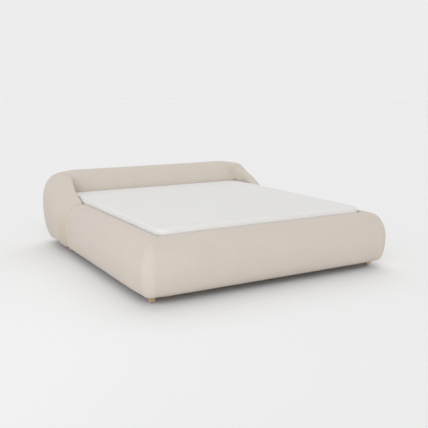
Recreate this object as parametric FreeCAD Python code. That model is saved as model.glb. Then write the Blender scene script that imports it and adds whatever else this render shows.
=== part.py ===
import FreeCAD, Part
import math
import os
from collections import namedtuple
from FreeCAD import Vector

# Upholstered bed with a wrap-round headboard.
# Millimetres, +Z up, +Y towards the headboard, +X to the right seen from the foot.
# Lengths along the bed are measured from the mattress's foot end while the parts are made;
# every part is moved at the end so that the origin lies on the floor under the middle of the bed.

os.makedirs("parts", exist_ok=True)

# ------------------------------------------------------------------ driving sizes

# Mattress and topper
mattress_width = 1800.0
mattress_length = 2000.0
mattress_height = 210.0
topper_height = 60.0
mattress_corner_radius = 75.0
mattress_edge_radius = 24.0
mattress_side_gap = 3.0
rest_gap = 0.3

# Heights
underside_height = 58.0
slat_crown_height = 222.0
rail_height = 455.0
rail_bulge_height = 250.0
headboard_height = 686.0
headboard_bulge_height = 384.0

# Upholstery section, outwards from the face beside the mattress
rail_roll_width = 26.0
rail_roll_height = 26.0
rail_reach = 156.0
rail_tuck = 50.0
foot_corner_radius = 120.0
wing_roll_width = 20.0
wing_reach = 190.0
wing_tuck = 72.0
headboard_roll_width = 160.0
headboard_roll_height = 197.0
headboard_reach = 184.0
headboard_tuck = 94.0
recess_corner_radius = 1.0

# Length of the wings, from the mattress's head end to the seam with the side rails, and how
# their top line climbs to the headboard: share of the run against share of the rise
wing_length = 436.0
wing_climb_run = 700.0
wing_climb = [(0.0, 0.0), (0.16, 0.12), (0.47, 0.575), (0.79, 0.92), (1.0, 1.0)]

# The stuffed ends of rail and wing round in towards the seam between them
rail_pillow_length = 26.0
rail_pillow_inset = 20.0
wing_pillow_length = 105.0
wing_pillow_inset = 34.0
pillow_steps = 4

# Timber inside the upholstery
board_thickness = 22.0
board_height = 338.0
bottom_board_thickness = 18.0
bottom_board_edge_cover = 13.0
former_thickness = 18.0
foam_cover = 45.0
side_former_count = 4
foot_former_count = 5
head_former_count = 6
wing_former_count = 2
former_end_distance = 110.0
foot_former_distance = 250.0
wing_former_distance = 80.0
top_batten_width = 70.0
top_batten_height = 45.0
top_batten_end_inset = 110.0

# Legs
leg_size = 36.0
leg_chamfer = 3.0
glide_radius = 14.0
glide_height = 4.0
leg_bolt_radius = 4.0
leg_bolt_depth = 24.0
side_leg_standoff = 65.0
foot_leg_standoff = 20.0
wing_leg_standoff = 85.0
wing_leg_setback = 275.0
head_leg_standoff = 207.0
head_leg_inset = 40.0

# Steel fittings
bracket_leg = 60.0
bracket_thickness = 4.0
bracket_height = 75.0
bracket_lift = 18.0
seam_plate_length = 160.0
fitting_bolt_radius = 4.0
fitting_bolt_head_radius = 7.0
fitting_bolt_head_height = 5.0
bolt_clearance = 0.1
fitting_bolt_inset = 20.0

# Slatted base
ledge_width = 30.0
ledge_height = 40.0
ledge_end_gap = 30.0
ledge_seam_gap = 4.0
ledge_screw_radius = 2.5
ledge_screw_head_radius = 5.0
ledge_screw_length = 45.0
ledge_screw_end_distance = 60.0
side_ledge_screws = 5
wing_ledge_screws = 2
slat_count = 14
slat_width = 68.0
slat_thickness = 9.0
slat_bow = 8.0
slat_first_station = 80.0
holder_wall = 3.0
holder_depth = 45.0
holder_fit = 0.3
holder_bow_room = 1.6
holder_side_wall = 4.0
centre_holder_web = 6.0
slat_end_gap = 1.0

# Centre beam
beam_width = 40.0
beam_height = 60.0
beam_wall = 2.0
beam_end_gap = 4.0
hanger_wall = 3.0
hanger_plate_width = 90.0
hanger_depth = 50.0
hanger_cheek_height = 48.0
centre_leg_radius = 19.0
centre_leg_wall = 2.0
centre_leg_plate = 60.0
centre_leg_plate_thickness = 4.0
centre_glide_radius = 22.0
centre_glide_height = 8.0

# ------------------------------------------------------------------ worked-out places

seam_station = mattress_length - wing_length
face_x = mattress_width / 2 + mattress_side_gap
foot_face_y = -mattress_side_gap
head_face_y = mattress_length + mattress_side_gap
board_x = face_x + board_thickness
board_top = underside_height + board_height
bottom_board_top = underside_height + bottom_board_thickness
foot_board_y = foot_face_y - board_thickness
head_board_y = head_face_y + board_thickness
front_y = foot_face_y - rail_roll_width - rail_reach
back_y = head_face_y + headboard_roll_width + headboard_reach
middle_y = (front_y + back_y) / 2
side_leg_x = mattress_width / 2 + side_leg_standoff
foot_leg_station = -foot_leg_standoff
wing_leg_x = mattress_width / 2 + wing_leg_standoff
wing_leg_station = mattress_length - wing_leg_setback
head_leg_x = mattress_width / 2 - head_leg_inset
head_leg_station = mattress_length + head_leg_standoff
centre_leg_stations = (mattress_length / 3, mattress_length * 2 / 3)
fitting_base = underside_height + bracket_lift
holder_height = 2 * holder_wall + slat_thickness + holder_fit + holder_bow_room
slat_end_bottom = slat_crown_height - slat_bow - slat_thickness
ledge_top = slat_end_bottom - holder_wall
BIG = 4000.0
SIDES = {"left": -1, "right": 1}


def box(x0, x1, y0, y1, z0, z1):
    """Box between two corners, given in any order."""
    low = Vector(min(x0, x1), min(y0, y1), min(z0, z1))
    return Part.makeBox(abs(x1 - x0), abs(y1 - y0), abs(z1 - z0), low)


def cylinder(radius, start, axis, length):
    return Part.makeCylinder(radius, length, Vector(*start), Vector(*axis))


def mirrored(shape, side):
    """The shape is made on the right; the left one is its mirror image."""
    if side > 0:
        return shape
    return shape.mirror(Vector(0, 0, 0), Vector(1, 0, 0))


def fused(shapes):
    """One solid from shapes that touch or overlap."""
    return shapes[0].multiFuse(list(shapes[1:])).removeSplitter()


def spread(first, last, count):
    """Evenly spaced places from first to last, both included."""
    return [first + (last - first) * i / (count - 1) for i in range(count)]


# ------------------------------------------------------------------ upholstery section

Section = namedtuple("Section", "roll reach tuck crest bulge roll_height")

rail_section = Section(rail_roll_width, rail_reach, rail_tuck, rail_height,
                       rail_bulge_height, rail_roll_height)


def quarter(start, corner, end):
    """Quarter ellipse from start to end, tangent to the lines through corner."""
    centre = start + end - corner
    if (start - centre).Length >= (end - centre).Length:
        ellipse = Part.Ellipse(start, end, centre)
    else:
        ellipse = Part.Ellipse(end, start, centre)
    first, last = sorted((ellipse.parameter(start), ellipse.parameter(end)))
    if last - first > math.pi:
        first, last = last, first + 2 * math.pi
    return Part.ArcOfEllipse(ellipse, first, last).toShape()


def section_wire(section, at):
    """Closed outline of the upholstery; at(out, height) places a point of it."""
    base = underside_height
    outer = section.roll + section.reach
    face_foot = at(0, base)
    face_top = at(0, section.crest - section.roll_height)
    crest = at(section.roll, section.crest)
    bulge = at(outer, section.bulge)
    tucked = at(outer - section.tuck, base)
    return Part.Wire([
        Part.makeLine(face_foot, face_top),
        quarter(face_top, at(0, section.crest), crest),
        quarter(crest, at(outer, section.crest), bulge),
        quarter(bulge, at(outer, base), tucked),
        Part.makeLine(tucked, face_foot),
    ])


def inset_section(section, depth):
    """The same section drawn in by depth at its crest and outer side."""
    return section._replace(reach=section.reach - depth, crest=section.crest - depth,
                            roll_height=max(section.roll_height - depth, 6.0))


def pillow_end(section, seam, length, inset):
    """Rounded end at the seam; length is negative when the end runs towards the foot."""
    wires = []
    for angle in spread(0.0, math.pi / 2, pillow_steps):
        y = seam + length * (1 - math.cos(angle))
        depth = inset * (1 - math.sin(angle))
        wires.append(section_wire(inset_section(section, depth), right_side_at(y)))
    return Part.makeLoft(wires, True, True)


def former_wire(section, at):
    """Straight-sided plywood former that leaves the foam cover outside it."""
    outer = section.roll + section.reach - foam_cover
    crest = section.crest - foam_cover
    low = bottom_board_top
    tuck = section.tuck * 0.7
    shoulder_out = section.roll + 0.62 * (outer - section.roll)
    shoulder_up = section.bulge + 0.7 * (crest - section.bulge)
    inner = board_thickness
    top_inner = max(section.roll * 0.8, inner + 8)
    top_outer = max(section.roll + 12, top_inner + 20)
    points = [(inner, low), (inner, min(crest, board_top)), (top_inner, crest), (top_outer, crest),
              (shoulder_out, shoulder_up), (outer, section.bulge),
              (outer - 0.25 * tuck, (section.bulge + low) / 2), (outer - tuck, low)]
    corners = [at(*p) for p in points]
    return Part.makePolygon(corners + corners[:1])


def right_side_at(y):
    return lambda out, height: Vector(face_x + out, y, height)


def foot_at(x):
    return lambda out, height: Vector(x, foot_face_y - out, height)


def head_at(x):
    return lambda out, height: Vector(x, head_face_y + out, height)


def corner_at(angle):
    """Station on the headboard's right corner, turned from the wing towards the back."""
    pivot_x = face_x - recess_corner_radius
    pivot_y = head_face_y - recess_corner_radius
    across, along = math.cos(angle), math.sin(angle)

    def at(out, height):
        r = recess_corner_radius + out
        return Vector(pivot_x + r * across, pivot_y + r * along, height)
    return at


# ------------------------------------------------------------------ rails

def rail_ring_right():
    """Side rail, foot corner and half of the foot rail, before the mitre cut."""
    pivot_out = rail_roll_width + rail_reach - foot_corner_radius
    pivot = Vector(face_x + pivot_out, foot_face_y - pivot_out, 0)
    side_face = Part.Face(section_wire(rail_section, right_side_at(pivot.y)))
    side = side_face.extrude(Vector(0, seam_station - rail_pillow_length - pivot.y, 0))
    end = pillow_end(rail_section, seam_station, -rail_pillow_length, rail_pillow_inset)
    foot_face = Part.Face(section_wire(rail_section, foot_at(0)))
    foot = foot_face.extrude(Vector(pivot.x, 0, 0))
    beyond = [Vector(pivot.x, pivot.y, 0), Vector(BIG, pivot.y, 0), Vector(BIG, pivot.y, BIG),
              Vector(pivot.x, pivot.y, BIG)]
    outside = side_face.common(Part.Face(Part.makePolygon(beyond + beyond[:1])))
    corner = outside.Faces[0].revolve(pivot, Vector(0, 0, 1), -90)
    return fused([side, end, foot, corner])


def mitre_prism():
    """Everything on the side rail's side of the 45 degree cut at the right foot corner."""
    corner = Vector(face_x, foot_face_y, 0)
    points = [corner + Vector(-BIG, BIG, 0), corner + Vector(BIG, -BIG, 0), corner + Vector(BIG, BIG, 0)]
    face = Part.Face(Part.makePolygon(points + points[:1]))
    return face.extrude(Vector(0, 0, BIG / 4))


# ------------------------------------------------------------------ wings and headboard

def climb(share):
    """Share of the rise reached at a share of the run, on a smooth rising curve."""
    if share <= 0:
        return 0.0
    if share >= 1:
        return 1.0
    runs = [p[0] for p in wing_climb]
    rises = [p[1] for p in wing_climb]
    slopes = [(rises[i + 1] - rises[i]) / (runs[i + 1] - runs[i]) for i in range(len(runs) - 1)]
    tangents = [slopes[0] * 0.6] + [2 / (1 / a + 1 / b) for a, b in zip(slopes, slopes[1:])] + [0.0]
    i = max(k for k in range(len(runs) - 1) if runs[k] <= share)
    width = runs[i + 1] - runs[i]
    t = (share - runs[i]) / width
    return (rises[i] * (1 + 2 * t) * (1 - t) ** 2 + tangents[i] * width * t * (1 - t) ** 2
            + rises[i + 1] * t * t * (3 - 2 * t) + tangents[i + 1] * width * t * t * (t - 1))


def swept_section(path, turn):
    """Section of wing, corner or headboard: path is the length from the seam, turn runs 0 to 1."""
    share = climb(path / wing_climb_run)
    crest = rail_height + (headboard_height - rail_height) * share
    return Section(
        wing_roll_width + (headboard_roll_width - wing_roll_width) * turn,
        wing_reach + (headboard_reach - wing_reach) * turn,
        wing_tuck + (headboard_tuck - wing_tuck) * share,
        crest,
        rail_bulge_height + (headboard_bulge_height - rail_bulge_height) * share,
        rail_roll_height + (headboard_roll_height - rail_roll_height) * share)


def corner_path(angle):
    """Length from the seam to an angle round the corner, along the crest."""
    straight = head_face_y - recess_corner_radius - seam_station
    radius = recess_corner_radius + (wing_roll_width + headboard_roll_width) / 2
    return straight + radius * angle


def head_path(x):
    """Length from the seam to a place on the headboard's straight."""
    return corner_path(math.pi / 2) + face_x - recess_corner_radius - abs(x)


def wing_upholstery():
    """Right wing with its corner, from the seam to the headboard's straight."""
    seam_end = seam_station + wing_pillow_length
    straight_end = head_face_y - recess_corner_radius
    straight = [section_wire(swept_section(y - seam_station, 0), right_side_at(y))
                for y in spread(seam_end, straight_end, 6)]
    corner = []
    for angle in spread(0.0, math.pi / 2, 6):
        turn = (1 - math.cos(2 * angle)) / 2
        corner.append(section_wire(swept_section(corner_path(angle), turn), corner_at(angle)))
    section = swept_section(wing_pillow_length, 0)
    end = pillow_end(section, seam_station, wing_pillow_length, wing_pillow_inset)
    return fused([Part.makeLoft(straight, True, False), Part.makeLoft(corner, True, False), end])


def headboard_upholstery():
    """Headboard between the corners; its crest still climbs a little beside them."""
    end = face_x - recess_corner_radius
    settled = end - max(wing_climb_run - corner_path(math.pi / 2), 1.0)
    parts = []
    for sign in (1, -1):
        wires = [section_wire(swept_section(head_path(x), 1), head_at(sign * x))
                 for x in spread(settled, end, 3)]
        parts.append(Part.makeLoft(wires, True, False))
    middle = Part.Face(section_wire(swept_section(head_path(settled), 1), head_at(-settled)))
    parts.append(middle.extrude(Vector(2 * settled, 0, 0)))
    return fused(parts)


# ------------------------------------------------------------------ timber

def plate_from(wire, direction):
    """Former: a flat outline made as thick as the plywood, centred on its station."""
    face = Part.Face(wire)
    face.translate(direction * (-former_thickness / 2))
    return face.extrude(direction * former_thickness)


along_x = Vector(1, 0, 0)
along_y = Vector(0, 1, 0)

side_former_stations = spread(foot_former_distance, seam_station - former_end_distance, side_former_count)
foot_former_places = spread(-mattress_width * 0.39, mattress_width * 0.39, foot_former_count)
head_former_places = spread(-mattress_width * 0.42, mattress_width * 0.42, head_former_count)
wing_former_stations = spread(seam_station + wing_former_distance, head_face_y - former_end_distance,
                              wing_former_count)

side_formers = [plate_from(former_wire(rail_section, right_side_at(y)), along_y)
                for y in side_former_stations]
foot_formers = [plate_from(former_wire(rail_section, foot_at(x)), along_x) for x in foot_former_places]
wing_formers = [plate_from(former_wire(swept_section(y - seam_station, 0), right_side_at(y)), along_y)
                for y in wing_former_stations]
head_section = swept_section(wing_climb_run, 1)
head_formers = [plate_from(former_wire(head_section, head_at(x)), along_x) for x in head_former_places]

batten_half_length = mattress_width / 2 - top_batten_end_inset
batten_y = head_face_y + headboard_roll_width * 0.8
batten_top = headboard_height - foam_cover
top_batten = box(-batten_half_length, batten_half_length, batten_y, batten_y + top_batten_width,
                 batten_top - top_batten_height, batten_top)
head_formers = [former.cut(top_batten) for former in head_formers]


def bottom_edge(section):
    """How far out the bottom board may reach under a section."""
    return section.roll + section.reach - section.tuck - bottom_board_edge_cover


wing_section = swept_section(0, 0)
side_bottom_board = box(board_x, face_x + bottom_edge(rail_section),
                        foot_leg_station - leg_size, seam_station, underside_height, bottom_board_top)
foot_bottom_board = box(-board_x, board_x, foot_board_y, foot_face_y - bottom_edge(rail_section),
                        underside_height, bottom_board_top)
wing_bottom_board = box(board_x, face_x + bottom_edge(wing_section), seam_station, head_board_y,
                        underside_height, bottom_board_top)
head_bottom_board = box(-(face_x - recess_corner_radius), face_x - recess_corner_radius, head_board_y,
                        head_face_y + bottom_edge(head_section), underside_height, bottom_board_top)

side_board = box(face_x, board_x, foot_board_y, seam_station, underside_height, board_top)
wing_board = box(face_x, board_x, seam_station, head_board_y, underside_height, board_top)
foot_board = box(-face_x, face_x, foot_face_y, foot_board_y, underside_height, board_top)
head_board = box(-face_x, face_x, head_face_y, head_board_y, underside_height, board_top)

# ------------------------------------------------------------------ legs

leg_places = {
    "foot_left": (-side_leg_x, foot_leg_station), "foot_right": (side_leg_x, foot_leg_station),
    "wing_left": (-wing_leg_x, wing_leg_station), "wing_right": (wing_leg_x, wing_leg_station),
    "head_left": (-head_leg_x, head_leg_station), "head_right": (head_leg_x, head_leg_station),
}


def leg_block(x, y):
    """Oak block with eased lower edges and a blind hole for its bolt."""
    half = leg_size / 2
    block = box(x - half, x + half, y - half, y + half, glide_height, underside_height)
    lower = [e for e in block.Edges if e.BoundBox.ZMax < glide_height + 0.01]
    block = block.makeChamfer(leg_chamfer, lower)
    return block.cut(leg_bolt(x, y, bolt_clearance))


def leg_bolt(x, y, grow=0.0):
    """Bolt through the bottom board into the leg; grow makes its hole wider."""
    start = (x, y, underside_height - leg_bolt_depth)
    length = leg_bolt_depth + bottom_board_thickness
    return cylinder(leg_bolt_radius + grow, start, (0, 0, 1), length)


leg_bolt_holes = [leg_bolt(x, y, bolt_clearance) for x, y in leg_places.values()]

# ------------------------------------------------------------------ steel fittings

fitting_top = fitting_base + bracket_height
fitting_middle = (fitting_base + fitting_top) / 2
bolt_heights = (fitting_base + fitting_bolt_inset, fitting_top - fitting_bolt_inset)


def fitting_bolt(x, y, z, axis):
    """Bolt through a fitting and the board behind it; axis points into the board."""
    ax = Vector(*axis)
    seat = Vector(x, y, z) - ax * bracket_thickness
    head = Part.makeCylinder(fitting_bolt_head_radius, fitting_bolt_head_height, seat, ax * -1)
    shank = Part.makeCylinder(fitting_bolt_radius, bracket_thickness + board_thickness, seat, ax)
    return head.fuse(shank).removeSplitter()


def fitting_hole(x, y, z, axis):
    ax = Vector(*axis)
    seat = Vector(x, y, z) - ax * bracket_thickness
    length = bracket_thickness + board_thickness
    return Part.makeCylinder(fitting_bolt_radius + bolt_clearance, length, seat, ax)


corner_bolt_y = bracket_leg - fitting_bolt_inset
fitting_bolt_places = []
for side in (1, -1):
    for z in bolt_heights:
        for y in (foot_face_y + corner_bolt_y, head_face_y - corner_bolt_y,
                  seam_station - seam_plate_length / 4, seam_station + seam_plate_length / 4):
            fitting_bolt_places.append((side * face_x, y, z, (side, 0, 0)))
        x = side * (face_x - corner_bolt_y)
        fitting_bolt_places.append((x, foot_face_y, z, (0, -1, 0)))
        fitting_bolt_places.append((x, head_face_y, z, (0, 1, 0)))
fitting_bolts = [fitting_bolt(*place) for place in fitting_bolt_places]
fitting_holes = [fitting_hole(*place) for place in fitting_bolt_places]


def corner_bracket(face_y, inward):
    """Steel angle in a recess corner on the right; inward points along Y into the recess."""
    inner_x = face_x - bracket_thickness
    on_side = box(inner_x, face_x, face_y, face_y + inward * bracket_leg, fitting_base, fitting_top)
    on_end = box(face_x - bracket_leg, face_x, face_y, face_y + inward * bracket_thickness,
                 fitting_base, fitting_top)
    return fused([on_side, on_end])


def seam_plate():
    return box(face_x - bracket_thickness, face_x, seam_station - seam_plate_length / 2,
               seam_station + seam_plate_length / 2, fitting_base, fitting_top)


# ------------------------------------------------------------------ slatted base

def ledge(start, end):
    return box(face_x - ledge_width, face_x, start, end, ledge_top - ledge_height, ledge_top)


def ledge_screw(y, grow):
    """Countersunk screw from the recess through the ledge into the board."""
    start = Vector(face_x - ledge_width, y, ledge_top - ledge_height / 2)
    head_depth = ledge_screw_head_radius - ledge_screw_radius
    wide, narrow = ledge_screw_head_radius + grow, ledge_screw_radius + grow
    head = Part.makeCone(wide, narrow, head_depth, start, along_x)
    shank = Part.makeCylinder(narrow, ledge_screw_length, start, along_x)
    return head.fuse(shank).removeSplitter()


side_ledge_span = (ledge_end_gap, seam_station - ledge_seam_gap)
wing_ledge_span = (seam_station + ledge_seam_gap, mattress_length - ledge_end_gap)


def screws_along(span, count):
    return spread(span[0] + ledge_screw_end_distance, span[1] - ledge_screw_end_distance, count)


ledge_screw_stations = (screws_along(side_ledge_span, side_ledge_screws)
                        + screws_along(wing_ledge_span, wing_ledge_screws))
ledge_screw_holes = [ledge_screw(y, bolt_clearance) for y in ledge_screw_stations]

slat_stations = spread(slat_first_station, mattress_length - slat_first_station, slat_count)
slat_inner = centre_holder_web / 2 + slat_end_gap
slat_outer = face_x - holder_wall - slat_end_gap


def slat(y):
    """Bowed beech slat on the right half, its crown under the mattress."""
    middle = (slat_inner + slat_outer) / 2

    def edge(height):
        return Part.Arc(Vector(slat_inner, y, height), Vector(middle, y, height + slat_bow),
                        Vector(slat_outer, y, height)).toShape()
    low = edge(slat_end_bottom)
    high = edge(slat_end_bottom + slat_thickness)
    ends = [Part.makeLine(Vector(x, y, slat_end_bottom), Vector(x, y, slat_end_bottom + slat_thickness))
            for x in (slat_inner, slat_outer)]
    outline = Part.Wire(Part.__sortEdges__([low, ends[1], high, ends[0]]))
    face = Part.Face(outline)
    face.translate(Vector(0, -slat_width / 2, 0))
    return face.extrude(Vector(0, slat_width, 0))


def slat_pocket(x0, x1, y):
    """The space that a slat end fills in its holder, with room for the bow."""
    half = slat_width / 2 + holder_fit
    low = slat_end_bottom
    return box(x0, x1, y - half, y + half, low, low + slat_thickness + holder_fit + holder_bow_room)


def holder_block(x0, x1, y):
    half = slat_width / 2 + holder_fit + holder_side_wall
    return box(x0, x1, y - half, y + half, ledge_top, ledge_top + holder_height)


def side_holder(y):
    block = holder_block(face_x - holder_depth, face_x, y)
    return block.cut(slat_pocket(face_x - holder_depth - 1, face_x - holder_wall, y))


def centre_holder(y):
    block = holder_block(-holder_depth, holder_depth, y)
    web = centre_holder_web / 2
    block = block.cut(slat_pocket(web, holder_depth + 1, y))
    return block.cut(slat_pocket(-holder_depth - 1, -web, y))


# ------------------------------------------------------------------ centre beam

beam_top = ledge_top
beam_bottom = beam_top - beam_height


def centre_beam():
    half = beam_width / 2
    y0 = foot_face_y + beam_end_gap
    y1 = head_face_y - beam_end_gap
    tube = box(-half, half, y0, y1, beam_bottom, beam_top)
    bore = box(-half + beam_wall, half - beam_wall, y0, y1, beam_bottom + beam_wall, beam_top - beam_wall)
    return tube.cut(bore)


def beam_hanger(face_y, inward):
    """Steel pocket on the board's face that carries one end of the beam."""
    inner = beam_width / 2 + rest_gap
    outer = inner + hanger_wall
    floor = beam_bottom - hanger_wall
    top = floor + hanger_cheek_height
    reach = face_y + inward * hanger_depth
    half = hanger_plate_width / 2
    plate = box(-half, half, face_y, face_y + inward * hanger_wall, floor, top)
    cheeks = [box(side * inner, side * outer, face_y, reach, floor, top) for side in (1, -1)]
    bottom = box(-outer, outer, face_y, reach, floor, beam_bottom)
    return fused([plate, bottom] + cheeks)


def centre_leg(y):
    """Steel tube with a top plate under the beam."""
    outer = cylinder(centre_leg_radius, (0, y, centre_glide_height), (0, 0, 1),
                     beam_bottom - centre_glide_height)
    half = centre_leg_plate / 2
    plate = box(-half, half, y - half, y + half, beam_bottom - centre_leg_plate_thickness, beam_bottom)
    bore = cylinder(centre_leg_radius - centre_leg_wall, (0, y, centre_glide_height), (0, 0, 1),
                    beam_bottom - centre_leg_plate_thickness - centre_glide_height)
    return fused([outer, plate]).cut(bore)


# ------------------------------------------------------------------ mattress and topper

def laid_block(bottom, height):
    """Rounded block the size of the mattress in plan."""
    half = mattress_width / 2
    block = box(-half, half, 0, mattress_length, bottom, bottom + height)
    upright = [e for e in block.Edges if e.BoundBox.ZLength > height / 2]
    block = block.makeFillet(mattress_corner_radius, upright)
    rims = [e for e in block.Edges if e.BoundBox.ZLength < 0.01]
    return block.makeFillet(mattress_edge_radius, rims)


mattress_bottom = slat_crown_height + rest_gap
topper_bottom = mattress_bottom + mattress_height + rest_gap

# ------------------------------------------------------------------ nodes

nodes = {}

ring = rail_ring_right()
prism = mitre_prism()
side_pad = ring.common(prism).cut(Part.makeCompound([side_board, side_bottom_board] + side_formers))
half_foot = ring.cut(prism)
foot_pad = fused([half_foot, mirrored(half_foot, -1)])
foot_timber = [foot_board, foot_bottom_board, side_board, mirrored(side_board, -1),
               side_bottom_board, mirrored(side_bottom_board, -1)]
foot_pad = foot_pad.cut(Part.makeCompound(foot_timber + foot_formers))
inner_corner = box(face_x - recess_corner_radius, face_x, head_face_y - recess_corner_radius, head_face_y,
                   underside_height, board_top)
wing_timber = [wing_board, wing_bottom_board, head_bottom_board, head_board, inner_corner]
wing_pad = wing_upholstery().cut(Part.makeCompound(wing_timber + wing_formers))
head_pad = headboard_upholstery()
head_pad = head_pad.cut(Part.makeCompound([head_board, head_bottom_board, top_batten] + head_formers))

nodes["headboard_pad"] = [head_pad]
nodes["foot_rail_pad"] = [foot_pad]
nodes["headboard_rail_board"] = [head_board.cut(Part.makeCompound(fitting_holes))]
nodes["foot_rail_board"] = [foot_board.cut(Part.makeCompound(fitting_holes))]
nodes["headboard_bottom_board"] = [head_bottom_board.cut(Part.makeCompound(leg_bolt_holes))]
nodes["foot_rail_bottom_board"] = [foot_bottom_board]
nodes["headboard_top_batten"] = [top_batten]
nodes["headboard_formers"] = head_formers
nodes["foot_rail_formers"] = foot_formers

for name, side in SIDES.items():
    side_screw_holes = [mirrored(hole, side) for hole in ledge_screw_holes]
    side_holes = Part.makeCompound(fitting_holes + leg_bolt_holes + side_screw_holes)
    screw_holes = Part.makeCompound(ledge_screw_holes)
    nodes["side_rail_pad_" + name] = [mirrored(side_pad, side)]
    nodes["wing_pad_" + name] = [mirrored(wing_pad, side)]
    nodes["side_rail_board_" + name] = [mirrored(side_board, side).cut(side_holes)]
    nodes["wing_board_" + name] = [mirrored(wing_board, side).cut(side_holes)]
    nodes["side_rail_bottom_board_" + name] = [mirrored(side_bottom_board, side).cut(side_holes)]
    nodes["wing_bottom_board_" + name] = [mirrored(wing_bottom_board, side).cut(side_holes)]
    nodes["side_rail_formers_" + name] = [mirrored(f, side) for f in side_formers]
    nodes["wing_formers_" + name] = [mirrored(f, side) for f in wing_formers]
    nodes["side_rail_ledge_" + name] = [mirrored(ledge(*side_ledge_span).cut(screw_holes), side)]
    nodes["wing_ledge_" + name] = [mirrored(ledge(*wing_ledge_span).cut(screw_holes), side)]
    nodes["slats_" + name] = [mirrored(slat(y), side) for y in slat_stations]
    nodes["side_slat_holders_" + name] = [mirrored(side_holder(y), side) for y in slat_stations]

nodes["centre_slat_holders"] = [centre_holder(y) for y in slat_stations]
nodes["ledge_screws"] = [mirrored(ledge_screw(y, 0), side) for y in ledge_screw_stations for side in (1, -1)]

bracket_holes = Part.makeCompound(fitting_holes)
nodes["corner_brackets"] = [mirrored(corner_bracket(y, inward), side).cut(bracket_holes)
                            for y, inward in ((foot_face_y, 1), (head_face_y, -1)) for side in (1, -1)]
nodes["seam_plates"] = [mirrored(seam_plate(), side).cut(bracket_holes) for side in (1, -1)]
nodes["fitting_bolts"] = fitting_bolts

nodes["centre_beam"] = [centre_beam()]
nodes["centre_beam_hangers"] = [beam_hanger(foot_face_y, 1), beam_hanger(head_face_y, -1)]
nodes["centre_legs"] = [centre_leg(y) for y in centre_leg_stations]
nodes["centre_leg_glides"] = [cylinder(centre_glide_radius, (0, y, 0), (0, 0, 1), centre_glide_height)
                              for y in centre_leg_stations]

for name, (x, y) in leg_places.items():
    nodes["leg_" + name] = [leg_block(x, y)]
nodes["leg_glides"] = [cylinder(glide_radius, (x, y, 0), (0, 0, 1), glide_height)
                       for x, y in leg_places.values()]
nodes["leg_bolts"] = [leg_bolt(x, y) for x, y in leg_places.values()]

nodes["mattress"] = [laid_block(mattress_bottom, mattress_height)]
nodes["topper"] = [laid_block(topper_bottom, topper_height)]

for name, solids in nodes.items():
    shape = solids[0] if len(solids) == 1 else Part.makeCompound(solids)
    shape.translate(Vector(0, -middle_y, 0))
    shape.exportStep("parts/" + name + ".step")
    state = "valid" if shape.isValid() else "INVALID"
    print(name, len(shape.Solids), "solids", round(shape.Volume / 1e6, 2), "litres", state)
print(len(nodes), "nodes; middle of the bed at", round(middle_y, 2), "from the mattress's foot end")
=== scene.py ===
# %% [markdown]
# # A low upholstered bed with a wrap-round headboard
# The timber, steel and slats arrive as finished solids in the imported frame. What is made here
# is everything soft: the cloth covers of rails, wings and headboard, the mattress and its
# topper. Then every part gets its finish, and a pale studio with a camera closes the file.

import math
from collections import namedtuple

import bpy
import numpy as np
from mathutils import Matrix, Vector


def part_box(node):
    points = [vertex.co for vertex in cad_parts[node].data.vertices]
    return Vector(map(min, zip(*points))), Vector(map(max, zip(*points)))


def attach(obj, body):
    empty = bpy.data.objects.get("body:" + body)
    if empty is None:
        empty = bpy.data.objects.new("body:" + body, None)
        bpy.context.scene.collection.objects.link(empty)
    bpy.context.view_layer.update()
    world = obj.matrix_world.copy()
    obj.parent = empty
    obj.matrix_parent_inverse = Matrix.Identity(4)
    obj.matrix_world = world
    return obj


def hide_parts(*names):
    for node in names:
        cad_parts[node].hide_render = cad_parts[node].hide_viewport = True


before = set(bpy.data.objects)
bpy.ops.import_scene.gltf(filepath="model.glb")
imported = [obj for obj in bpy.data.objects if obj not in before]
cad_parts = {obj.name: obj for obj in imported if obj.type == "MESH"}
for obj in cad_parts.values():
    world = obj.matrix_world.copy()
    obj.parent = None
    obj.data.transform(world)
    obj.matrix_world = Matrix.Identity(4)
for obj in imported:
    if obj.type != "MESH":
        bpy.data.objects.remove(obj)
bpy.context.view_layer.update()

# %% [markdown]
# ## Places taken from the frame
# The covers have to sit on the boards and around the mattress. Their places could be typed in
# as numbers, but then they would be wrong as soon as the bed changed. So they are read from
# the boxes of the solids, all in metres. The crest of a cover settles a little below its foam.

# %% Read the places
rail_low, rail_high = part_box("side_rail_pad_right")
wing_high, head_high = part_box("wing_pad_right")[1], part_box("headboard_pad")[1]
bed_low, bed_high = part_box("mattress")
topper_low, topper_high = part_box("topper")

face_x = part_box("side_rail_board_right")[0].x
foot_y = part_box("foot_rail_board")[1].y
head_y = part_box("headboard_rail_board")[0].y
seam_y = rail_high.y
base_z = rail_low.z
board_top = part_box("side_rail_board_right")[1].z
board_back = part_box("side_rail_board_right")[1].x - face_x
bottom_board_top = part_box("side_rail_bottom_board_right")[1].z
rail_outer = rail_high.x - face_x
wing_outer = wing_high.x - face_x
head_outer = head_high.y - head_y
CREST_SETTLES = 0.003
rail_crest = rail_high.z - CREST_SETTLES
head_crest = head_high.z
print("recess", round(2 * face_x, 3), "wide; seam at y", round(seam_y, 3))

# %% [markdown]
# ## The padded section
# Cut through a rail and its padding shows a D: a small roll beside the mattress, a crest, an
# outside that bulges and a lower edge tucked under. The headboard has the same parts, with a
# deep roll. One profile curve for each place would look alike, but curves can't be blended.
# Six lengths can, so the narrow section of a wing grows into the headboard's without a step:
# roll, from the board's face out to the crest; reach, from there to the widest place; tuck,
# how far the lower edge lies in from that; crest and bulge, the heights of those two above
# the floor; roll_height, how far the roll comes down to the board's face.

# %% State the padded section
Section = namedtuple("Section", "roll reach tuck crest bulge roll_height")

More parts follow.
